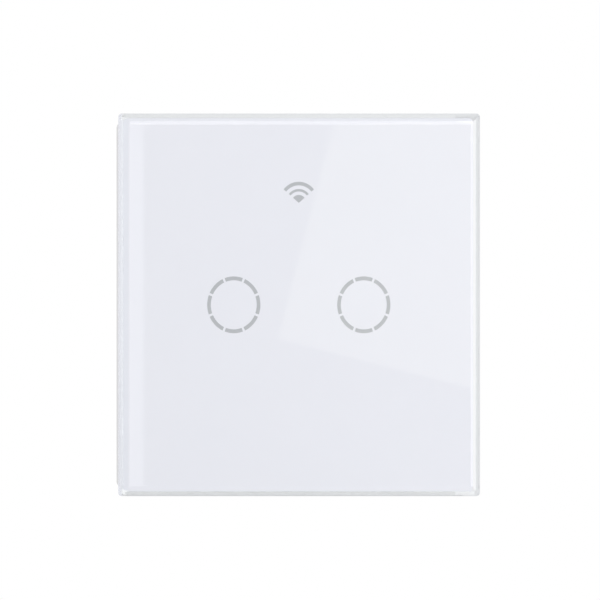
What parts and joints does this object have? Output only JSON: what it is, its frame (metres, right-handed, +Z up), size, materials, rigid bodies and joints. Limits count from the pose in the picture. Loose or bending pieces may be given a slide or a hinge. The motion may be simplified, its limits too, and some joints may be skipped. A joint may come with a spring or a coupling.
{
  "type": "touch light switch",
  "caption": "Square glass touch switch with dashed ring marks and a radio fan mark, on a steel frame, with a housing for a wall box.",
  "frame": {"origin": "on the wall's face, behind the middle of the glass panel", "axes": "+X right as seen from the room, +Y into the wall, +Z up"},
  "size_m": [0.086, 0.035, 0.086],
  "materials": {
    "clear_glass": "polished, clear, 3 mm tempered",
    "white_ink": "baked white ink, seen through the glass",
    "grey_diffuser": "grey translucent ink",
    "foam_tape": "white foam tape",
    "white_plastic": "moulded, fine satin",
    "light_guide": "milky clear moulding",
    "zinc_steel": "zinc plated sheet",
    "spring_steel": "bright strip",
    "housing_plastic": "moulded, spark-eroded texture",
    "screw_steel": "zinc plated",
    "green_board": "solder mask on glass fibre",
    "spring_wire": "gold plated wire",
    "light_chip": "clear resin over a light chip",
    "black_epoxy": "moulded epoxy",
    "blue_board": "solder mask",
    "tin_can": "tinned sheet",
    "black_plastic": "moulded",
    "relay_shell": "glossy blue moulding",
    "former_plastic": "moulded, natural",
    "copper_wire": "enamelled copper",
    "soft_iron": "nickel plated iron",
    "contact_metal": "brass and silver alloy",
    "terminal_plastic": "moulded, satin",
    "tinned_brass": "tinned",
    "ferrite": "pressed ferrite",
    "winding_tape": "yellow polyester tape",
    "can_sleeve": "shrunk sleeve",
    "blue_coating": "dipped epoxy",
    "ceramic": "ceramic tube with plated caps"
  },
  "bodies": {
    "wall_unit": {"board_header": "black_plastic", "board_screws": "screw_steel", "bridge_rectifier": "black_epoxy", "capacitors": "can_sleeve", "choke": "ferrite", "frame_screws": "screw_steel", "fuse": "ceramic", "header_socket": "black_plastic", "left_relay_base": "black_plastic", "left_relay_bobbin": "former_plastic", "left_relay_case": "relay_shell", "left_relay_coil": "copper_wire", "left_relay_contacts": "contact_metal", "left_relay_iron": "soft_iron", "left_touch_spring": "spring_wire", "mounting_frame": "zinc_steel", "panel_clips": "spring_steel", "power_board": "green_board", "radio_module": "blue_board", "radio_shield": "tin_can", "rear_housing": "housing_plastic", "right_relay_base": "black_plastic", "right_relay_bobbin": "former_plastic", "right_relay_case": "relay_shell", "right_relay_coil": "copper_wire", "right_relay_contacts": "contact_metal", "right_relay_iron": "soft_iron", "right_touch_spring": "spring_wire", "ring_lights": "light_chip", "signal_light": "light_chip", "terminal_block": "terminal_plastic", "terminal_tabs": "tinned_brass", "touch_board": "green_board", "touch_chip": "black_epoxy", "transformer_core": "ferrite", "transformer_winding": "winding_tape", "varistor": "blue_coating"},
    "touch_panel": {"glass_panel": "clear_glass", "white_print": "white_ink", "left_ring_window": "grey_diffuser", "right_ring_window": "grey_diffuser", "signal_window": "grey_diffuser", "bonding_tape": "foam_tape", "panel_carrier": "white_plastic", "left_light_guide": "light_guide", "right_light_guide": "light_guide", "signal_light_guide": "light_guide"},
    "left_armature": {"left_relay_armature": "soft_iron", "left_relay_spring": "contact_metal"},
    "right_armature": {"right_relay_armature": "soft_iron", "right_relay_spring": "contact_metal"},
    "screw_1": {"clamp_screw_1": "screw_steel"},
    "cage_1": {"clamp_cage_1": "tinned_brass"},
    "screw_2": {"clamp_screw_2": "screw_steel"},
    "cage_2": {"clamp_cage_2": "tinned_brass"},
    "screw_3": {"clamp_screw_3": "screw_steel"},
    "cage_3": {"clamp_cage_3": "tinned_brass"},
    "screw_4": {"clamp_screw_4": "screw_steel"},
    "cage_4": {"clamp_cage_4": "tinned_brass"}
  },
  "joints": [
    {"name": "panel_pull", "type": "slide", "parent": "wall_unit", "child": "touch_panel", "axis": [0, -1, 0], "range_m": [0, 0.02]},
    {"name": "left_armature_tip", "type": "hinge", "parent": "wall_unit", "child": "left_armature", "pos_m": [-0.0179, 0.01508, -0.0053], "axis": [0, 0, -1], "range_deg": [0, 4], "stiffness_Nm_per_rad": 0.02, "springref_deg": -5.73},
    {"name": "right_armature_tip", "type": "hinge", "parent": "wall_unit", "child": "right_armature", "pos_m": [0.0025, 0.01508, -0.0053], "axis": [0, 0, -1], "range_deg": [0, 4], "stiffness_Nm_per_rad": 0.02, "springref_deg": -5.73},
    {"name": "screw_1_turn", "type": "hinge", "parent": "wall_unit", "child": "screw_1", "pos_m": [-0.01125, 0.0195, -0.01825], "axis": [0, -1, 0], "range_deg": [0, 3240]},
    {"name": "cage_1_rise", "type": "slide", "parent": "wall_unit", "child": "cage_1", "axis": [0, 1, 0], "range_m": [0, 0.0045]},
    {"name": "screw_2_turn", "type": "hinge", "parent": "wall_unit", "child": "screw_2", "pos_m": [-0.00375, 0.0195, -0.01825], "axis": [0, -1, 0], "range_deg": [0, 3240]},
    {"name": "cage_2_rise", "type": "slide", "parent": "wall_unit", "child": "cage_2", "axis": [0, 1, 0], "range_m": [0, 0.0045]},
    {"name": "screw_3_turn", "type": "hinge", "parent": "wall_unit", "child": "screw_3", "pos_m": [0.00375, 0.0195, -0.01825], "axis": [0, -1, 0], "range_deg": [0, 3240]},
    {"name": "cage_3_rise", "type": "slide", "parent": "wall_unit", "child": "cage_3", "axis": [0, 1, 0], "range_m": [0, 0.0045]},
    {"name": "screw_4_turn", "type": "hinge", "parent": "wall_unit", "child": "screw_4", "pos_m": [0.01125, 0.0195, -0.01825], "axis": [0, -1, 0], "range_deg": [0, 3240]},
    {"name": "cage_4_rise", "type": "slide", "parent": "wall_unit", "child": "cage_4", "axis": [0, 1, 0], "range_m": [0, 0.0045]}
  ],
  "couplings": [
    {"joint": "screw_1_turn", "follows": "cage_1_rise", "rad_per_m": 12566},
    {"joint": "screw_2_turn", "follows": "cage_2_rise", "rad_per_m": 12566},
    {"joint": "screw_3_turn", "follows": "cage_3_rise", "rad_per_m": 12566},
    {"joint": "screw_4_turn", "follows": "cage_4_rise", "rad_per_m": 12566}
  ]
}
